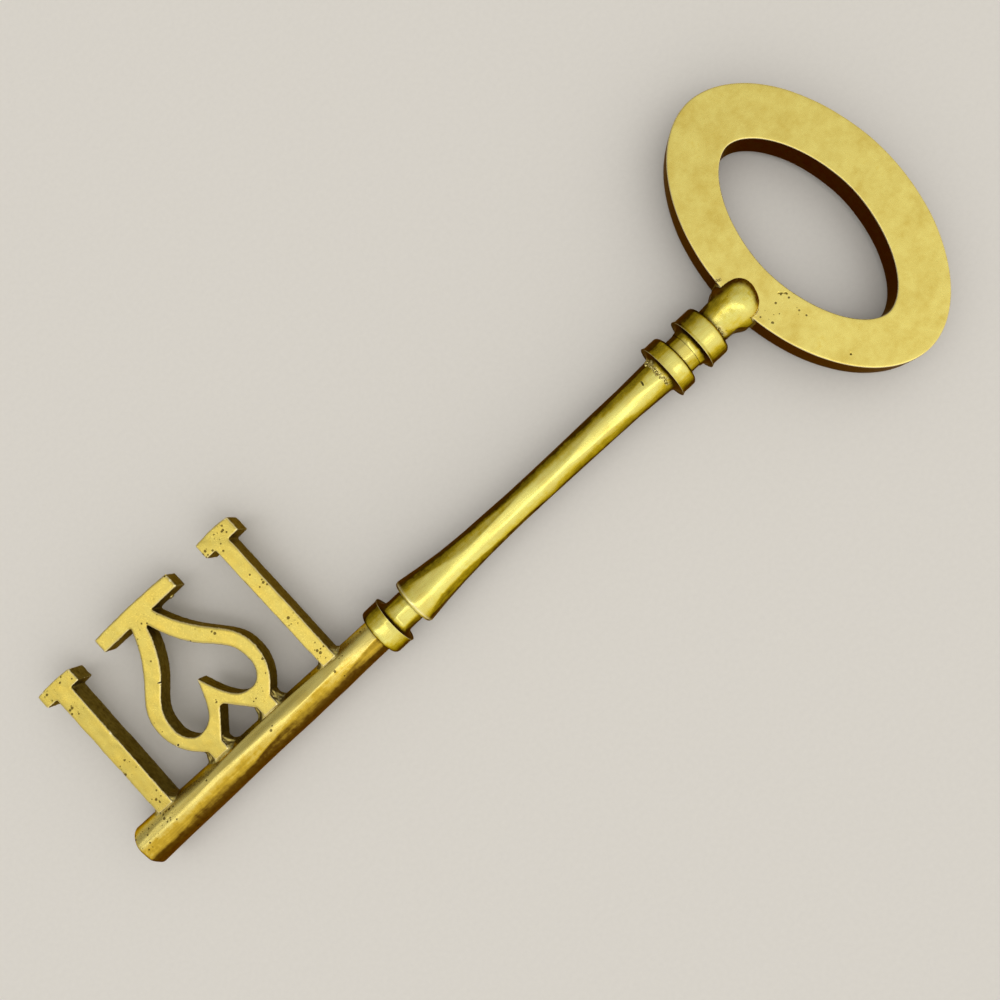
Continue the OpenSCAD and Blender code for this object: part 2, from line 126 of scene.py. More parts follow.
def add(tree, kind, settings=(), sockets=()):
    """Add a shader node, set its properties, and fill or link its sockets."""
    node = tree.nodes.new("ShaderNode" + kind)
    for key, value in dict(settings).items():
        setattr(node, key, value)
    for key, value in dict(sockets).items():
        if isinstance(value, bpy.types.NodeSocket):
            tree.links.new(value, node.inputs[key])
        else:
            node.inputs[key].default_value = value
    return node


# %% [markdown]
# The key lies on a plain pale floor, which is a plane large enough to reach the horizon when the
# key is seen from the side. It is part of the stage and not of the key.

# %% Floor
bpy.ops.mesh.primitive_plane_add(size=16, location=(0, 0, 0))
floor = bpy.context.object
floor.name = "floor"

floor_paint = bpy.data.materials.new("matt_floor_paint")
floor_paint.use_nodes = True
tree = floor_paint.node_tree
tree.nodes.clear()
place = add(tree, "TexCoord").outputs["Object"]
speckle = add(tree, "TexNoise", sockets={"Vector": place, "Scale": 600.0, "Detail": 1.0})
tint = add(tree, "Mix", {"data_type": "RGBA"},
           {0: speckle.outputs[0], 6: linear("#DFDCD6"), 7: linear("#E4E1DB")})
matt = add(tree, "BsdfDiffuse", sockets={"Color": tint.outputs[2]})
add(tree, "OutputMaterial", sockets={"Surface": matt.outputs[0]})
floor.data.materials.append(floor_paint)
print("the floor is", round(floor.dimensions.x), "m wide")

# %% [markdown]
# Polished metal shows the room around it, so the room matters as much as the metal. The room is a
# soft gradient, bright on the side of the window and overhead, and dim behind. A long narrow panel,
# a little brighter than the room, draws the bright line along everything that is round.

# %% Lights and world
def soft_panel(name, middle, along, size, power):
    """Hang a rectangular lamp at a point, facing the key, with its long side in a direction."""
    lamp = bpy.data.lights.new(name, "AREA")
    lamp.shape = "RECTANGLE"
    lamp.size, lamp.size_y = size
    lamp.energy = power
    panel = bpy.data.objects.new(name, lamp)
    bpy.context.scene.collection.objects.link(panel)
    back = Vector(middle).normalized()
    across = back.cross(Vector(along)).normalized()
    turn = Matrix((across.cross(back), across, back)).transposed()
    panel.matrix_world = Matrix.Translation(middle) @ turn.to_4x4()
    print(name, "is", round(Vector(middle).length, 2), "m away")


soft_panel("long_panel", middle=(-0.33, -0.29, 2.0), along=(0.569, -0.823, 0), size=(3.4, 0.45), power=6)
WINDOW = Vector((0, -0.8, 0.6))

world = bpy.data.worlds.new("studio")
bpy.context.scene.world = world
world.use_nodes = True
tree = world.node_tree
tree.nodes.clear()
direction = add(tree, "TexCoord").outputs["Generated"]
towards = add(tree, "VectorMath", {"operation": "DOT_PRODUCT"}, {0: direction, 1: WINDOW}).outputs["Value"]
share = add(tree, "MapRange", sockets={"Value": towards, "From Min": -1.0, "From Max": 1.0}).outputs[0]
sky = add(tree, "ValToRGB", sockets={0: share})
sky.color_ramp.elements[0].color = linear("#555350")
sky.color_ramp.elements[1].color = linear("#FFFCF7")
room = add(tree, "Background", sockets={"Color": sky.outputs[0], "Strength": 1.1})
add(tree, "OutputWorld", sockets={"Surface": room.outputs[0]})
print("the room is brightest towards", [round(v, 1) for v in WINDOW])

# %% [markdown]
# ## Brass
#
# All of the key is brass, an alloy of copper and zinc, and none of it is one flat yellow. The faces
# were filed and rubbed bright, so they are pale and satin. Walls and undersides were left alone and
# have turned brown, and whatever turns away from a finish's pale side is painted darker, golden and
# then brown, as shade. Dirt and old polish sit in the corners, darkened further by painted shade.
# Small gas holes from the casting show as dark specks, painted with the shade and the dirt in them,
# and the emery cloth left fine lines along the work.
#
# All of that is drawn with noise at a few sizes, and with values that are stretched and mixed. A
# short function for each of these steps keeps the finish below readable. A pattern's size is given in
# millimetres, because that is how one measures it on the real key.

# %% Helpers for patterns
def per_metre(size_mm):
    """Texture scale that gives features of about this size."""
    return 1 / (size_mm * MM)


def noise(tree, place, size_mm, detail=3.0, rough=0.5):
    """Add a noise pattern with features of a size in millimetres, stretched if three sizes are given."""
    sizes = size_mm if isinstance(size_mm, tuple) else (size_mm,) * 3
    scaled = add(tree, "Mapping", sockets={"Vector": place, "Scale": [per_metre(v) for v in sizes]})
    return add(tree, "TexNoise", sockets={"Vector": scaled.outputs[0], "Scale": 1.0, "Detail": detail,
                                          "Roughness": rough}).outputs[0]


def remap(tree, value, low, high, to_low=0.0, to_high=1.0):
    """Stretch a value from one range to another, and clamp it."""
    return add(tree, "MapRange", sockets={"Value": value, "From Min": low, "From Max": high,
                                          "To Min": to_low, "To Max": to_high}).outputs[0]


def calc(tree, operation, a, b):
    """Combine two values."""
    return add(tree, "Math", {"operation": operation}, {0: a, 1: b}).outputs[0]


def blend(tree, amount, a, b):
    """Mix two colours by an amount."""
    return add(tree, "Mix", {"data_type": "RGBA"}, {0: amount, 6: a, 7: b}).outputs[2]


def seen(tree, what):
    """Read something that was spread over a piece as an attribute."""
    return add(tree, "Attribute", {"attribute_name": what}).outputs["Fac"]


# %% [markdown]
# One function builds the layers, and each finish gives it its own colours and sizes. A surface's
# own normal says how far it faces the finish's pale side, and what turns away is painted darker, as
# patina and shade. Ambient occlusion finds the corners, which get dirt and painted shade, and
# pointiness finds the worn edges, which get a painted highlight too. Solder, a painted dark
# reflection, pits and the crispest rims are painted onto the meshes as attributes, which the
# material reads. Patterns read object coordinates, so they stay in place. The lines of the emery
# are a tenth of a millimetre apart on the real key, too fine to show here, so they are drawn
# several times as coarse.

# %% A brass finish
# The last colour on the first line is worn edges with a painted highlight. The next line holds a painted
# dark reflection, dirt with painted shade in corners, and the painted shade and dirt of pits.
OCHRE, SOLDER, WORN_EDGE_AND_HIGHLIGHT = "#D2B650", "#DED08A", "#FFF3C0"
PAINTED_DARK_REFLECTION, DIRT_AND_SHADE, PIT_DIRT_AND_SHADE = "#5E3A0C", "#1E1206", "#3A2608"
GRAZING_TINT = linear("#D9B45A")
PATCHES_MM, MOTTLE_MM, FINE_MM, HOLES_MM = 9.0, 1.8, 0.5, 1.3


def brass(name, pale, golden_shade, brown_patina_and_shade, crust, grain_mm, pit_share, roughness, relief_mm, edge_shine, shade_reach_mm,
          pale_side_towards):
    """Build a brass finish: pale on one side, and painted golden, then brown, as shade and patina."""
    material = bpy.data.materials.new(name)
    material.use_nodes = True
    tree = material.node_tree
    tree.nodes.clear()
    place = add(tree, "TexCoord").outputs["Object"]
    shape = add(tree, "NewGeometry")

    patches = noise(tree, place, PATCHES_MM, 4.0, 0.6)
    lines = noise(tree, place, grain_mm, 4.0, 0.65)
    mottle = noise(tree, place, MOTTLE_MM, 4.0, 0.65)
    fine = noise(tree, place, FINE_MM, 3.0, 0.6)
    solder = seen(tree, "soldered")

    # Facing the pale side is pale; turning away is painted golden, then brown: patina and shade
    facing = add(tree, "VectorMath", {"operation": "DOT_PRODUCT"},
                 {0: shape.outputs["Normal"], 1: Vector(pale_side_towards).normalized()})
    uneven = calc(tree, "ADD", facing.outputs["Value"], remap(tree, patches, 0.3, 0.7, -0.07, 0.07))
    uneven = calc(tree, "ADD", uneven, remap(tree, lines, 0.3, 0.7, -0.05, 0.05))
    uneven = calc(tree, "ADD", uneven, remap(tree, mottle, 0.3, 0.7, -0.05, 0.05))
    turned_away_shade = remap(tree, uneven, 0.94, 0.78)
    patina_and_shade = remap(tree, uneven, 0.8, 0.5)
    # A dark reflection is painted, mottled, where the stem's ball carries it
    dark_reflection = calc(tree, "MULTIPLY", seen(tree, "painted_dark_reflection"), remap(tree, mottle, 0.3, 0.6, 0.6, 1.0))

    # Gas holes sit in some cells of a cell pattern, most of them where the piece is marked as pitted
    pitted = seen(tree, "pitted")
    cells = add(tree, "Mapping", sockets={"Vector": place, "Scale": [per_metre(HOLES_MM)] * 3})
    holes = add(tree, "TexVoronoi", sockets={"Vector": cells.outputs[0], "Scale": 1.0})
    chance = add(tree, "SeparateColor", sockets={0: holes.outputs["Color"]})
    likely = calc(tree, "ADD", calc(tree, "MULTIPLY", pitted, 0.75), noise(tree, place, 7.0, 2.0, 0.5))
    present = remap(tree, calc(tree, "ADD", chance.outputs[0], likely), 1.5 - pit_share, 1.55 - pit_share)
    width = remap(tree, calc(tree, "POWER", chance.outputs[1], 2.0), 0.0, 1.0, 0.12, 0.4)
    inside = remap(tree, calc(tree, "SUBTRACT", holes.outputs["Distance"], width), 0.05, -0.05)
    pit = calc(tree, "MULTIPLY", inside, present)

    # Corners get dirt and painted shade. Edges get wear and a painted highlight, on walls only in specks
    corner = add(tree, "AmbientOcclusion", {"samples": 8}, {"Distance": shade_reach_mm * MM}).outputs["AO"]
    dirt_and_shade = calc(tree, "MULTIPLY", remap(tree, corner, 0.75, 0.35), remap(tree, fine, 0.25, 0.6, 0.6, 1.0))
    dirt_and_shade = calc(tree, "MULTIPLY", dirt_and_shade, remap(tree, solder, 0.0, 1.0, 1.0, 0.35))
    # Pointiness and painted rims brighten edges, as wear and a painted highlight
    sharp = remap(tree, shape.outputs["Pointiness"], 0.515, 0.56, 0.0, edge_shine)
    rim = calc(tree, "MULTIPLY", calc(tree, "POWER", seen(tree, "rim"), 2.5), 0.65)
    on_wall = remap(tree, facing.outputs["Value"], 0.4, 0.15)
    spared = calc(tree, "MULTIPLY", on_wall, remap(tree, fine, 0.62, 0.5))
    edge = calc(tree, "MULTIPLY", calc(tree, "MAXIMUM", sharp, rim), calc(tree, "SUBTRACT", 1.0, spared))
    # The walls' brown is patina and painted shade, broken by lighter patches of crust
    skin_and_shade = blend(tree, remap(tree, mottle, 0.35, 0.7), linear(brown_patina_and_shade), linear(crust))

    # The colours lie over each other, from the widest to the smallest
    tone = calc(tree, "ADD", remap(tree, patches, 0.4, 0.75, 0.0, 0.5),
                remap(tree, lines, 0.4, 0.75, 0.0, 0.4))
    colour = blend(tree, tone, linear(pale), linear(OCHRE))
    # Golden and brown here are painted shade over the brown patina
    colour = blend(tree, turned_away_shade, colour, linear(golden_shade))
    colour = blend(tree, patina_and_shade, colour, skin_and_shade)
    # This brown band is a painted dark reflection
    colour = blend(tree, dark_reflection, colour, linear(PAINTED_DARK_REFLECTION))
    # Edges get wear and a painted highlight
    colour = blend(tree, edge, colour, linear(WORN_EDGE_AND_HIGHLIGHT))
    film = calc(tree, "MULTIPLY", solder, remap(tree, fine, 0.4, 0.6, 0.1, 0.9))
    colour = blend(tree, film, colour, linear(SOLDER))
    # Corners are painted dark: dirt, and painted shade
    colour = blend(tree, calc(tree, "MULTIPLY", dirt_and_shade, 0.85), colour, linear(DIRT_AND_SHADE))
    # Pits are painted dark: the dirt and the shade in each hole
    colour = blend(tree, calc(tree, "MULTIPLY", pit, 0.8), colour, linear(PIT_DIRT_AND_SHADE))

    # Skin, shaded sides and darkened corners are duller, and solder, pits and grit stand in relief
    soft = calc(tree, "ADD", remap(tree, fine, 0.3, 0.7, roughness - 0.05, roughness + 0.07),
                calc(tree, "MULTIPLY", patina_and_shade, 0.12))
    soft = calc(tree, "ADD", soft, calc(tree, "MULTIPLY", dirt_and_shade, 0.3))

    rough = calc(tree, "ADD", calc(tree, "MULTIPLY", pitted, 1.2), calc(tree, "MULTIPLY", solder, 3.0))
    grit = calc(tree, "MULTIPLY", fine, calc(tree, "ADD", rough, 0.35))
    hill = calc(tree, "SUBTRACT", calc(tree, "ADD", lines, grit), calc(tree, "MULTIPLY", pit, 2.0))
    bump = add(tree, "Bump", sockets={"Height": hill, "Strength": 0.8, "Distance": relief_mm * MM})

    metal = add(tree, "BsdfPrincipled", sockets={"Base Color": colour, "Metallic": 1.0, "Roughness": soft,
                                                 "Specular Tint": GRAZING_TINT, "Normal": bump.outputs[0]})
    add(tree, "OutputMaterial", sockets={"Surface": metal.outputs[0]})
    return material


# %% [markdown]
# Five finishes come out of that function. They share one metal, so what tells them apart is how each
# surface was made. Each finish is given the direction that its pale side faces: up for the bow and
# the wards, a little towards the side without wards for the shaft, and towards the side with them
# for the barrel. Away from that side the colour is painted darker, as shade over brown patina.

# %% The five brasses of the key
ABOVE, NO_WARDS_SIDE, WARDS_SIDE = (0, -0.05, 1), (0, -0.17, 1), (0, 0.4, 1)

# Cast brass under a file and emery: pale satin faces; walls deep brown, as patina and painted shade
filed_brass = brass("filed_cast_brass", "#EFDF7E", "#D9B83E", "#3C1E0A", "#40301A",
                    grain_mm=(3.0, 3.0, 3.0), pit_share=-0.15, roughness=0.27, relief_mm=0.02,
                    edge_shine=0.0, shade_reach_mm=2.5, pale_side_towards=ABOVE)

# Brass off the lathe, polished along its length: the brightest, with long streaks in its shine
turned_brass = brass("turned_brass", "#E6E080", "#D2B82A", "#3E2C0A", "#4A3A14",
                     grain_mm=(16.0, 0.7, 0.7), pit_share=-0.1, roughness=0.25, relief_mm=0.04,
                     edge_shine=0.0, shade_reach_mm=3.0, pale_side_towards=NO_WARDS_SIDE)

# Drawn bar, filed lengthwise: pale towards the wards, and warm brown patina and painted shade away
barrel_brass = brass("drawn_filed_brass", "#E8D880", "#CCAA36", "#54380C", "#6A4E16",
                     grain_mm=(14.0, 0.8, 0.8), pit_share=0.0, roughness=0.28, relief_mm=0.05,
                     edge_shine=0.0, shade_reach_mm=2.5, pale_side_towards=WARDS_SIDE)

# Sand-cast brass: dull greenish walls, rubbed faces with gas pits, worn edges with a painted highlight
ward_brass = brass("sand_cast_brass", "#C6B45C", "#BEA234", "#62562E", "#867A48",
                   grain_mm=(2.2, 5.0, 2.2), pit_share=0.05, roughness=0.3, relief_mm=0.03,
                   edge_shine=0.9, shade_reach_mm=1.5, pale_side_towards=ABOVE)

# Brazing brass, left as it set: lumpy, the roughest, and duller than what it joins
braze = brass("brazing_brass", "#C8BA74", "#B2A25A", "#665426", "#8E7C44",
              grain_mm=(1.2, 1.2, 1.2), pit_share=0.1, roughness=0.36, relief_mm=0.05,
              edge_shine=0.3, shade_reach_mm=1.5, pale_side_towards=ABOVE)
finishes = (filed_brass, turned_brass, barrel_brass, ward_brass, braze)
print("brass finishes:", [finish.name for finish in finishes])

# %% [markdown]
# The two studs inside the shank are drawn steel rod. Nothing of them shows, but they are pieces of
# the key, so they get the grey, lengthwise grain of drawn rod.

# %% Steel of the studs
drawn_steel = bpy.data.materials.new("drawn_steel")
drawn_steel.use_nodes = True
tree = drawn_steel.node_tree
tree.nodes.clear()
place = add(tree, "TexCoord").outputs["Object"]
draw_lines = noise(tree, place, (25.0, 0.3, 0.3))
grey = blend(tree, draw_lines, linear("#8E9092"), linear("#B6B7B8"))
satin = remap(tree, draw_lines, 0.3, 0.7, 0.28, 0.42)
steel = add(tree, "BsdfPrincipled", sockets={"Base Color": grey, "Metallic": 1.0, "Roughness": satin})
add(tree, "OutputMaterial", sockets={"Surface": steel.outputs[0]})
for node in ("stem_stud", "neck_stud"):
    frame["nodes"][node].material_slots[0].material = drawn_steel
    print(node, "is", drawn_steel.name)

# %% [markdown]
# ## Modelling helpers
#
# Blender's edit operators act on what is selected, and the loaded frame arrives selected. So each
# step first deselects everything, makes one object active, and then picks its faces, edges or
# vertices by where they are.

# %% Helpers for selecting and copying
def only(piece):
    """Select one object and nothing else."""
    bpy.ops.object.select_all(action="DESELECT")
    piece.select_set(True)
    bpy.context.view_layer.objects.active = piece


def edit(piece, kind="VERT", test=None):
    """Go into edit mode with the vertices, edges or faces that pass the test, or with all of them."""
    only(piece)
    bpy.ops.object.mode_set(mode="EDIT")
    bpy.ops.mesh.select_mode(type=kind)
    bpy.ops.mesh.select_all(action="SELECT" if test is None else "DESELECT")
    if test is None:
        return
    bpy.ops.object.mode_set(mode="OBJECT")
    mesh = piece.data
    items = {"VERT": mesh.vertices, "EDGE": mesh.edges, "FACE": mesh.polygons}[kind]
    for item in items:
        item.select = test(item)
    bpy.ops.object.mode_set(mode="EDIT")


def done():
    """Leave edit mode."""
    bpy.ops.object.mode_set(mode="OBJECT")


def copy_of(node, name):
    """Copy a CAD node's mesh into an object of its own, with its loose triangles joined."""
    piece = bpy.data.objects.new(name, frame["nodes"][node].data.copy())
    piece.data.name = name
    piece.data.materials.clear()
    bpy.context.scene.collection.objects.link(piece)
    edit(piece)
    bpy.ops.mesh.remove_doubles(threshold=0.002 * MM)
    bpy.ops.mesh.customdata_custom_splitnormals_clear()
    done()
    return piece


def apply(piece, kind, **settings):
    """Add a modifier with its settings and apply it at once."""
    only(piece)
    modifier = piece.modifiers.new(kind.lower(), kind)
    for key, value in settings.items():
        setattr(modifier, key, value)
    bpy.ops.object.modifier_apply(modifier=modifier.name)


# %% [markdown]
# When a piece is finished, it gets its material and takes the place of its CAD node, which stays in
# the physics model and is hidden here. The whole key is one rigid body, so every piece rides on it.
# Hand work can push a point past the key's measured box by a hair, and such points are put back.

# %% Seating a finished piece
def seat(piece, material, slot, *nodes):
    """Keep a piece inside the key's box, give it its material, and let it stand in for CAD nodes."""
    piece.data.materials.clear()
    piece.data.materials.append(material)
    piece.data.polygons.foreach_set("material_index", [0] * len(piece.data.polygons))
    for vertex in piece.data.vertices:
        vertex.co = [min(max(v, low), high) for v, low, high in zip(vertex.co, *cad_box)]
    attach(piece, "root")
    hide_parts(*nodes)
    print(piece.name, len(piece.data.polygons), "faces")


# %% [markdown]
# ## The turned pieces
#
# Seven pieces come off the lathe: the shaft, the neck, the three collars, the spacer between two of
# them, and the barrel. A lathe turns a profile about an axis, and so does the spin operator. The
# profile is already inside the CAD solid. A copy is cut by the plane through the axis, the cut is
# all that is kept, and its lower half goes. The corners of the line that is left are rounded a
# little, because no lathe tool leaves a perfect edge, and then the line is spun once round. The
# crisp rim at one end of some pieces is painted before the spin, so that the material can wear it
# bright and give it a painted highlight. A spun barrel has no holes for the pegs of the wards, but
# the wards' feet cover those places.

# %% Lathe
low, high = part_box("shank")
AXIS = Vector((0, (low.y + high.y) / 2, (low.z + high.z) / 2))
STEPS_ROUND = 160
HALVINGS = 6
LONGEST_ROW = 1.6 * MM
print("the shank's axis lies", round(AXIS.z / MM, 1), "mm above the floor")


def paint(piece, what, amount):
    """Write onto a piece how much it has of something, worked out for each vertex."""
    layer = piece.data.attributes.new(what, "FLOAT", "POINT")
    for vertex, value in zip(piece.data.vertices, layer.data):
        value.value = amount(vertex)


def lathe(node, name, edge_mm, flush=(), crisp=None):
    """Spin the upper half of a round CAD node's section about the key's axis."""
    piece = copy_of(node, name)

    # One plane leaves the section alone, another leaves its upper half, and stray points are merged
    edit(piece)
    bpy.ops.mesh.bisect(plane_co=AXIS, plane_no=(0, 1, 0), clear_inner=True, clear_outer=True)
    bpy.ops.mesh.select_all(action="SELECT")
    bpy.ops.mesh.bisect(plane_co=AXIS, plane_no=(0, 0, 1), clear_inner=True)
    bpy.ops.mesh.select_all(action="SELECT")
    bpy.ops.mesh.remove_doubles(threshold=0.02 * MM)
    bpy.ops.mesh.select_all(action="SELECT")
    bpy.ops.mesh.dissolve_limited(angle_limit=math.radians(1.5))
    done()

    # Corners are rounded, but not where the next piece carries the same surface on
    ends = [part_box(node)[end].x for end in flush]
    corners = sharp_corners(piece, math.radians(28), ends)
    edit(piece, "VERT", lambda v: v.index in corners)
    bpy.ops.mesh.bevel(offset=edge_mm * MM, segments=3, affect="VERTICES")
    done()
    rims = set()
    if crisp is not None:
        rim_end, other_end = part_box(node)[crisp].x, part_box(node)[1 - crisp].x
        along = [v.co.x for v in piece.data.vertices]
        rims = {v for v in sharp_corners(piece, math.radians(18), ends, only_proud=True)
                if abs(along[v] - rim_end) < abs(along[v] - other_end)}

    # Long lines are halved until they are short enough for the marks of the file
    for halving in range(HALVINGS):
        where = [v.co.copy() for v in piece.data.vertices]
        edit(piece, "EDGE",
             lambda line: (where[line.vertices[0]] - where[line.vertices[1]]).length > LONGEST_ROW)
        bpy.ops.mesh.subdivide(number_cuts=1)
        done()
    # The rim is painted so the material can give it wear and a painted highlight
    paint(piece, "rim", lambda vertex: vertex.index in rims)

    edit(piece)
    bpy.ops.mesh.spin(steps=STEPS_ROUND, angle=math.tau, center=AXIS, axis=(1, 0, 0))
    bpy.ops.mesh.select_all(action="SELECT")
    bpy.ops.mesh.remove_doubles(threshold=0.003 * MM)
    bpy.ops.mesh.normals_make_consistent(inside=False)
    done()
    return piece


def sharp_corners(piece, limit, ends, only_proud=False):
    """Find where a line turns by more than a limit, away from some ends, and only outwards if asked."""
    others = {}
    for line in piece.data.edges:
        for a, b in (line.vertices, reversed(line.vertices)):
            others.setdefault(a, []).append(piece.data.vertices[b].co)
    found = set()
    for v, near in others.items():
        here = piece.data.vertices[v].co
        if len(near) != 2 or any(abs(here.x - end) < 0.05 * MM for end in ends):
            continue
        proud = here.z > (near[0].z + near[1].z) / 2
        if (near[0] - here).angle(here - near[1], 0) > limit and (proud or not only_proud):
            found.add(v)
    return found


# %% [markdown]
# After the lathe the turned pieces were drawn smooth by hand, with long strokes of a file and of
# emery. Each stroke takes off a narrow flat, and two flats meet in a soft ridge. They break up the
# bright line on the real key. A noise field whose sign is dropped has just such ridges, where it
# passes through zero. Here it is stretched along the key, and moves the surface straight inwards, so
# that two pieces that share a surface still do. The file hardly touches what stands out furthest,
# because the rims of the collars have to stay round.

# %% Turned pieces
FLAT_WIDTH_MM, TIMES_LONGER = 4.0, 9
BORE_MM, RIM_FROM_MM, RIM_TO_MM = 3.3, 7.4, 9.4
SPARED_AT_RIM = 0.75


def drawn_by_hand(piece, depth_mm):
    """File long shallow flats onto a turned piece, and leave its bore alone."""
    for vertex in piece.data.vertices:
        out = Vector((0, vertex.co.y - AXIS.y, vertex.co.z - AXIS.z))
        proud = min(1.0, max(0.0, out.length / MM - RIM_FROM_MM) / (RIM_TO_MM - RIM_FROM_MM))
        if out.length > BORE_MM * MM:
            spot = Vector((vertex.co.x / TIMES_LONGER, vertex.co.y, vertex.co.z)) / (FLAT_WIDTH_MM * MM)
            filed_off = abs(field.noise(spot)) * depth_mm * MM * (1 - SPARED_AT_RIM * proud)
            vertex.co -= out.normalized() * filed_off


LOW, HIGH = 0, 1

# Node, rounding in mm, ends that the next piece carries on, end with a crisp rim, depth filed in mm
cuts = [("shank", 0.3, [HIGH], LOW, 0.45),
        ("shank_neck", 0.15, [LOW], None, 0.45),
        ("bow_collar", 0.22, [LOW], LOW, 0.45),
        ("shank_collar", 0.22, [LOW], LOW, 0.45),
        ("bit_collar", 0.22, [HIGH], HIGH, 0.45),
        ("collar_spacer", 0.15, [HIGH], None, 0.45),
        ("bit_barrel", 0.5, [], None, 0.6)]
turned = {}
for node, edge, flush, crisp, depth in cuts:
    turned[node] = lathe(node, node.title(), edge, flush, crisp)
    drawn_by_hand(turned[node], depth)
print("off the lathe:", list(turned))

# %% [markdown]
# Nicks, dents, burrs and grains of solder are all made in one way. A small sphere is stretched, turned
# and made uneven, and then it is cut out of the piece or joined to it. Where pits or solder lie in
# clusters, their middles and radii are painted on the piece for the material to read.

# %% Helpers for marks
def at_mm(x, y, z):
    """A point of the key, given in millimetres."""
    return Vector((x, y, z)) * MM


def waves(piece, size_mm, depth_mm, group=""):
    """Move a surface in and out along its normals by a soft cloud pattern."""
    cloud = bpy.data.textures.new(piece.name + "_waves", "CLOUDS")
    cloud.noise_scale = size_mm * MM
    cloud.noise_depth = 1
    apply(piece, "DISPLACE", texture=cloud, strength=depth_mm * MM, mid_level=0.5,
          texture_coords="LOCAL", vertex_group=group)


def combine(piece, operation, tool):
    """Cut a tool out of a piece, add it, or keep what they share."""
    apply(piece, "BOOLEAN", object=tool, operation=operation, solver="MANIFOLD")
    assert piece.data.polygons, piece.name + " is empty"


def marked(piece, operation, *marks):
    """Cut or add small lumps: each has a middle, three sizes in mm, and a turn about the vertical."""
    for place, size, turn in marks:
        bpy.ops.mesh.primitive_ico_sphere_add(subdivisions=3, radius=0.5 * MM, location=at_mm(*place),
                                              rotation=(0, 0, math.radians(turn)), scale=size)
        lump = bpy.context.object
        bpy.ops.object.transform_apply(location=True, rotation=True, scale=True)
        waves(lump, 0.7, 0.3)
        combine(piece, operation, lump)
        bpy.data.objects.remove(lump)


def spread(piece, what, *clusters):
    """Paint something in clusters, each given as its middle and radius in mm, strongest in the middle."""
    def amount(vertex):
        near = [1 - (vertex.co - at_mm(x, y, z)).length / (r * MM) for x, y, z, r in clusters]
        return min(1.0, 2 * max(0.0, *near))
    paint(piece, what, amount)


# %% [markdown]
# Solder was used where the shaft meets its collar, and it set in small grains along the corner, with
# a pale film between them. The grains are marks on an arc about the axis, put out of line by the same
# noise field, so that they come out the same each time. The film is painted round them. A file slipped
# on the shaft below the collar, and gas pits cluster at both ends of the barrel.

# %% Solder grains and marks of the turned pieces
def grains(x, radius, first, last, count):
    """Make marks for grains strewn along an arc about the key's axis, between two angles from the top."""
    marks = []
    for i in range(count):
        turned_by, moved_by, larger_by = [field.noise((i * 0.73, x, shift)) for shift in (0.2, 1.4, 2.6)]
        angle = math.radians(first + (last - first) * (i + 0.5 + turned_by) / count)
        spot = Vector((x + 1.2 * moved_by, radius * math.sin(angle), radius * math.cos(angle)))
        marks.append((AXIS / MM + spot, [0.55 + 0.6 * larger_by] * 3, 0))
    return marks


SOLDER_MM = 6.35
FILM_MM = 1.2


def soldered(piece, x, first, last, count):
    """Strew grains of solder on a piece, and let a film of solder lie round them."""
    marks = grains(x, SOLDER_MM, first, last, count)
    marked(piece, "UNION", *marks)
    spread(piece, "soldered", *[(*middle, FILM_MM) for middle, size, turn in marks])


soldered(turned["shank_collar"], 65.3, 74, -40, 38)
marked(turned["shank"], "DIFFERENCE", ((59.6, -4.2, 16.1), (0.6, 2.0, 1.4), -12))
spread(turned["bit_barrel"], "pitted",
       (-161.0, -3.7, 17.0, 6.5),
       (-150.0, -1.0, 15.5, 6.0),
       (-113.0, -1.0, 15.5, 3.0))
for node, piece in turned.items():
    only(piece)
    bpy.ops.object.shade_smooth_by_angle(angle=math.radians(40))
    seat(piece, barrel_brass if node == "bit_barrel" else turned_brass, "turned_brass", node)

# %% [markdown]
# ## The bow
#
# The bow is a thick flat ring, cast and then filed on its faces and edges. The walls of the CAD
# solid are good, but its two faces are thin triangles. So the faces are deleted, and the outer and
# inner rims are bridged with rows of squares. The four rims are bevelled, because a file takes the
# sharpness off them. Subdivision then gives enough points for a slight waviness, which breaks up
# the reflections as hand work does.

# %% Bow
bow = copy_of("bow", "Bow")
low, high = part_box("bow")
edit(bow, "FACE", lambda f: abs(f.normal.z) > 0.9)
bpy.ops.mesh.delete(type="FACE")
bpy.ops.mesh.select_all(action="SELECT")
bpy.ops.mesh.tris_convert_to_quads()
done()


def at_level(piece, z):
    """Make a test for edges that lie at a height."""
    return lambda line: all(abs(piece.data.vertices[v].co.z - z) < 0.01 * MM for v in line.vertices)


rims = {frozenset(line.vertices) for line in bow.data.edges
        if at_level(bow, low.z)(line) or at_level(bow, high.z)(line)}
for level in (low.z, high.z):
    edit(bow, "EDGE", at_level(bow, level))
    bpy.ops.mesh.bridge_edge_loops(number_cuts=5, interpolation="LINEAR")
    done()

edit(bow)
bpy.ops.mesh.normals_make_consistent(inside=False)
done()
edit(bow, "EDGE", lambda line: frozenset(line.vertices) in rims)
bpy.ops.mesh.bevel(offset=0.55 * MM, segments=3, affect="EDGES")
done()
apply(bow, "SUBSURF", levels=2, render_levels=2)
# The bevelled rims are painted for wear and a painted highlight
paint(bow, "rim", lambda vertex: 0.2 < abs(vertex.normal.z) < 0.9)

# %% [markdown]
# Hand filing never leaves a true plane. A soft cloud texture moves the surface by about a tenth of a
# millimetre, over waves of about two centimetres. The bow has marks of its own as well: two short
# cuts that meet in a bent dent, one deep gas hole near its edge, and grains of solder where the stem
# holds it.

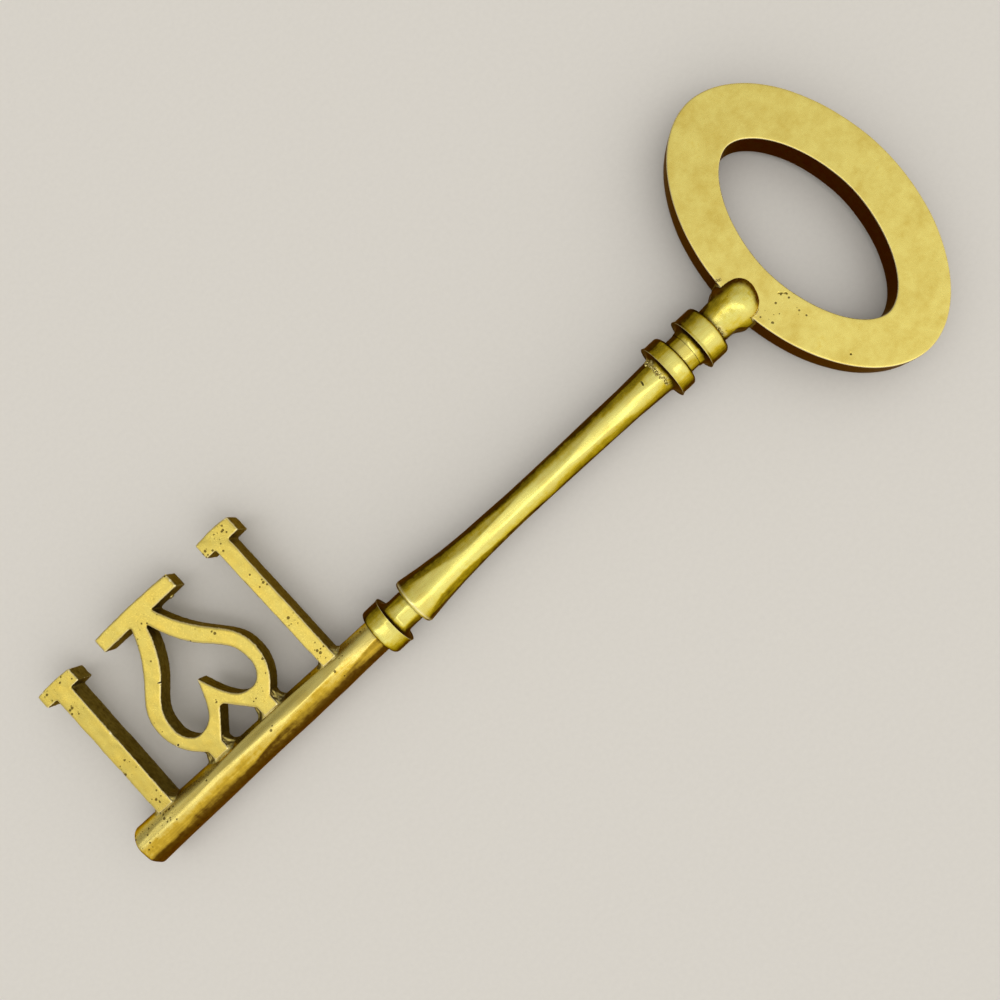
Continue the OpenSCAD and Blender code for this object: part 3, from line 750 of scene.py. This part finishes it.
# %% Waviness and marks of the bow
waves(bow, 16.0, 0.22)
marked(bow, "DIFFERENCE",
       ((110.8, -13.2, 16.1), (2.0, 0.45, 0.8), -40),
       ((111.8, -14.2, 16.1), (1.0, 0.5, 0.8), -62),
       ((113.3, -42.2, 16.1), (0.7, 0.7, 1.4), 0))
marked(bow, "UNION",
       *[((100.3 + 0.5 * i, -12.4 + 0.4 * (i % 2), 16.1), (0.8, 0.6, 0.7), 30 * i) for i in range(4)],
       *[((98.9 + 0.5 * i, 3.6 - 0.3 * i, 16.1), (0.7, 0.6, 0.7), 40 * i) for i in range(3)])
spread(bow, "soldered", (101.0, -12.2, 16.1, 1.6), (99.4, 3.4, 16.1, 1.3))
spread(bow, "pitted", (105.8, -15.8, 16.1, 6.0), (112.9, -18.2, 16.1, 7.0), (100.6, -12.2, 16.1, 4.0))
only(bow)
bpy.ops.object.shade_smooth()
seat(bow, filed_brass, "filed_brass", "bow")

# %% [markdown]
# ## The wards
#
# The wards are small sand castings with flat faces, worked over with a file. Their outlines have
# many corners, so bevels would run into each other. Instead the copy is remeshed into small squares
# of even size and smoothed, which rounds every edge by a few tenths of a millimetre, as rubbing does.

# %% Castings
def casting(node, name, cell_mm, rounds):
    """Remesh a copy of a CAD node into even squares and soften its edges."""
    piece = copy_of(node, name)
    apply(piece, "REMESH", mode="VOXEL", voxel_size=cell_mm * MM)
    apply(piece, "SMOOTH", factor=0.5, iterations=rounds)
    only(piece)
    bpy.ops.object.shade_smooth()
    return piece


# %% [markdown]
# Only the flat faces were filed. The walls kept the skin that the moulding sand gave them, so the
# vertices of the walls go into a group, and a small strong pattern moves that group alone. The heart
# has nicks, a broken corner and a burr under its crossbar. One edge of the tip post's head is barely
# grazed. Gas pits cluster most of all in the heads and the feet.

# %% Wards
def walls_of(piece):
    """Group the vertices of the upright walls, and name the group."""
    group = piece.vertex_groups.new(name="walls")
    group.add([v.index for v in piece.data.vertices if abs(v.normal.z) < 0.6], 1.0, "ADD")
    return group.name


wards = {}
for node in ("bow_side_post", "ward_heart", "tip_post"):
    wards[node] = casting(node, node.title(), cell_mm=0.3, rounds=7)
    waves(wards[node], 5.0, 0.15)
    waves(wards[node], 1.2, 0.22, walls_of(wards[node]))

# Two strokes of a file, a shallow notch, a nick by the lobe, and a broken corner of the crossbar
marked(wards["ward_heart"], "DIFFERENCE",
       ((-123.6, 31.6, 14.3), (0.5, 1.8, 1.4), 60),
       ((-123.5, 30.4, 14.3), (0.5, 1.8, 1.4), 52),
       ((-127.4, 36.5, 14.3), (1.0, 1.0, 1.6), 0),
       ((-133.0, 12.2, 14.4), (0.9, 0.6, 1.0), 30),
       ((-98.0, 57.0, 14.3), (2.4, 1.0, 1.6), 20))
marked(wards["ward_heart"], "UNION", ((-104.0, 52.1, 7.5), (2.6, 2.2, 2.2), 15))
marked(wards["tip_post"], "DIFFERENCE", ((-157.0, 50.6, 14.9), (1.6, 0.9, 1.0), 10))
spread(wards["ward_heart"], "pitted",
       (-114.2, 50.2, 14.3, 3.4),
       (-99.9, 30.2, 14.3, 2.8),
       (-121.6, 38.9, 14.3, 1.6),
       (-105.4, 54.7, 14.3, 2.0),
       (-101.5, 7.3, 14.3, 4.0),
       (-113.4, 12.1, 14.3, 3.0))
spread(wards["tip_post"], "pitted",
       (-147.0, 54.0, 15.0, 7.0),
       (-154.1, 53.4, 15.0, 6.0),
       (-151.0, 3.0, 15.0, 5.0),
       (-152.0, 18.4, 15.0, 4.0),
       (-151.6, 44.4, 15.0, 3.5))
spread(wards["bow_side_post"], "pitted",
       (-74.5, 54.0, 15.0, 6.5),
       (-81.9, 53.0, 15.0, 5.0),
       (-75.6, 33.0, 15.0, 3.5),
       (-75.9, 16.7, 15.0, 3.5),
       (-76.9, 2.8, 15.0, 4.5))
for node, ward in wards.items():
    seat(ward, ward_brass, "ward_brass", node)

# %% [markdown]
# ## The stem
#
# The stem widens into a ball that is slotted over the bow's edge. It was shaped by hand after it was
# brazed, so it has no crisp line either, and it is made in the same way, in a finer mesh. The ball
# isn't quite round: it bulges on its far side, which proportional editing pulls out of it. Grains of
# solder sit at its foot. Those that only touch it come loose and are dropped. Along the arc where its
# far side meets the bow, a brown band is painted: a painted dark reflection on the steep side.

# %% Stem
def drop_crumbs(piece, size_mm):
    """Throw away the loose bits of a piece that are smaller than a size, and give back the rest."""
    name = piece.name
    edit(piece)
    bpy.ops.mesh.separate(type="LOOSE")
    done()
    parts = list(bpy.context.selected_objects)
    for part in parts[:]:
        if max(part.dimensions) < size_mm * MM:
            parts.remove(part)
            bpy.data.objects.remove(part)
    only(parts[0])
    for part in parts[1:]:
        part.select_set(True)
    if len(parts) > 1:
        bpy.ops.object.join()
    parts[0].name = name
    return parts[0]


stem = casting("bow_stem", "Bow_Stem", cell_mm=0.2, rounds=6)
edit(stem, "VERT", lambda v: (v.co - at_mm(105.0, -2.0, 15.0)).length < 1.5 * MM)
bpy.ops.transform.translate(value=at_mm(0.6, 0.6, 0.1), use_proportional_edit=True,
                            proportional_size=5 * MM)
done()
waves(stem, 5.0, 0.3)
soldered(stem, 89.1, -16, -50, 9)
stem = drop_crumbs(stem, 1.0)

# A dark reflection is painted as a brown band along the arc where the ball's far side meets the bow
ball_x, ball_y, ball_radius = 98.9, -5.75, 7.1
arc = [(ball_x + ball_radius * math.cos(turn), ball_y + ball_radius * math.sin(turn), 16.5, 3.2)
       for turn in (-0.6, -0.3, 0.0, 0.3, 0.6, 0.9, 1.2, 1.5, 1.8)]
spread(stem, "painted_dark_reflection", *arc)
spread(stem, "pitted", (89.2, -9.1, 14.5, 3.0), (98.0, -12.0, 14.5, 3.0))
seat(stem, turned_brass, "turned_brass", "bow_stem")

# %% [markdown]
# ## Braze
#
# Molten brazing brass runs into a corner and fills it with a hollow curve. A mesh does the same when
# it is swollen and shrunk again: inner corners close, and all else comes back. So copies of two pieces
# are cut down to the place where they meet and are melted into one by a voxel remesh, and that is
# swollen and shrunk. It is shrunk by a little more, so that it ends just under the skin of the two
# pieces. What then stands out of them is the braze, and a boolean keeps only that. A smaller box takes
# off the ends, where the copies were cut.

# %% Braze
UNDER_SKIN_MM = 0.3
CRUMB_MM = 2.5


def block_between(low, high):
    """Make a box between two corners, given in mm from the shank's axis."""
    low, high = [Vector((0, AXIS.y, AXIS.z)) + at_mm(*corner) for corner in (low, high)]
    bpy.ops.object.select_all(action="DESELECT")
    bpy.ops.mesh.primitive_cube_add(size=1, location=(low + high) / 2, scale=high - low)
    bpy.ops.object.transform_apply(location=True, rotation=True, scale=True)
    return bpy.context.object


def braze_between(node, name, low, high, reach_mm, trim_mm, *pieces):
    """Fill the corners between pieces inside a box, and keep what lies inside the trimmed box."""
    block = block_between(low, high)
    bead, *others = [bpy.data.objects.new(name, piece.data.copy()) for piece in pieces]
    for part in (bead, *others):
        bpy.context.scene.collection.objects.link(part)
        combine(part, "INTERSECT", block)
    for part in others:
        combine(bead, "UNION", part)
        bpy.data.objects.remove(part)
    bpy.data.objects.remove(block)

    for swell in (reach_mm, -reach_mm - UNDER_SKIN_MM):
        apply(bead, "REMESH", mode="VOXEL", voxel_size=0.25 * MM)
        apply(bead, "DISPLACE", strength=swell * MM, mid_level=0.0)
    apply(bead, "REMESH", mode="VOXEL", voxel_size=0.2 * MM)
    apply(bead, "SMOOTH", factor=0.5, iterations=6)
    waves(bead, 1.6, 0.35)
    block = block_between([v + trim_mm for v in low], [v - trim_mm for v in high])
    combine(bead, "INTERSECT", block)
    bpy.data.objects.remove(block)
    for piece in pieces:
        combine(bead, "DIFFERENCE", piece)
    bead = drop_crumbs(bead, CRUMB_MM)
    only(bead)
    bpy.ops.object.shade_smooth_by_angle(angle=math.radians(50))
    seat(bead, braze, "braze", node)


barrel = turned["bit_barrel"]
braze_between("bow_braze", "Bow_Braze", (94.4, -13.5, -7.4), (102.5, 13.5, 7.4), 1.5, 1.0, bow, stem)
braze_between("bow_post_braze", "Bow_Post_Braze", (-84.5, 1.9, -8.0), (-67.5, 13.0, 8.0), 3.0, 1.3,
              wards["bow_side_post"], barrel)
braze_between("heart_braze", "Heart_Braze", (-133.5, 1.9, -8.0), (-91.5, 12.0, 8.0), 3.0, 1.3,
              wards["ward_heart"], barrel)
braze_between("tip_post_braze", "Tip_Post_Braze", (-159.0, 1.9, -8.0), (-140.5, 13.0, 8.0), 3.0, 1.3,
              wards["tip_post"], barrel)
